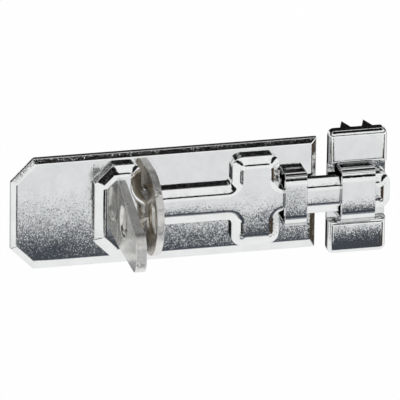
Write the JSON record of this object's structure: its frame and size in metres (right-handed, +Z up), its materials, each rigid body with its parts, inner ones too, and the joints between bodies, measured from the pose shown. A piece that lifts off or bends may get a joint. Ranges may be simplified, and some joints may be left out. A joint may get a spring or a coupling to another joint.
{
  "type": "padbolt",
  "caption": "Pressed steel padbolt with a sliding bolt that hides its fixing screws, paired padlock eyes, a guide strap and a separate toothed keep.",
  "frame": {"origin": "middle of the base plate's back face, on the bolt's axis", "axes": "+X along the bolt towards the keep, +Y into the door that it is screwed to, +Z up across the bolt"},
  "size_m": [0.1486, 0.0475, 0.0508],
  "materials": {
    "pressed_zinc": "bright zinc plate on pressed sheet steel",
    "eye_zinc": "bright zinc plate on stamped steel, slightly dull"
  },
  "bodies": {
    "base": {"base_plate": "pressed_zinc", "fixed_eye": "eye_zinc", "guide_strap": "pressed_zinc", "keep_plate": "pressed_zinc", "keep_strap": "pressed_zinc"},
    "slider": {"bolt": "pressed_zinc", "bolt_eye": "eye_zinc"}
  },
  "joints": [
    {"name": "bolt_slide", "type": "slide", "parent": "base", "child": "slider", "axis": [-1, 0, 0], "range_m": [0, 0.0305]}
  ]
}
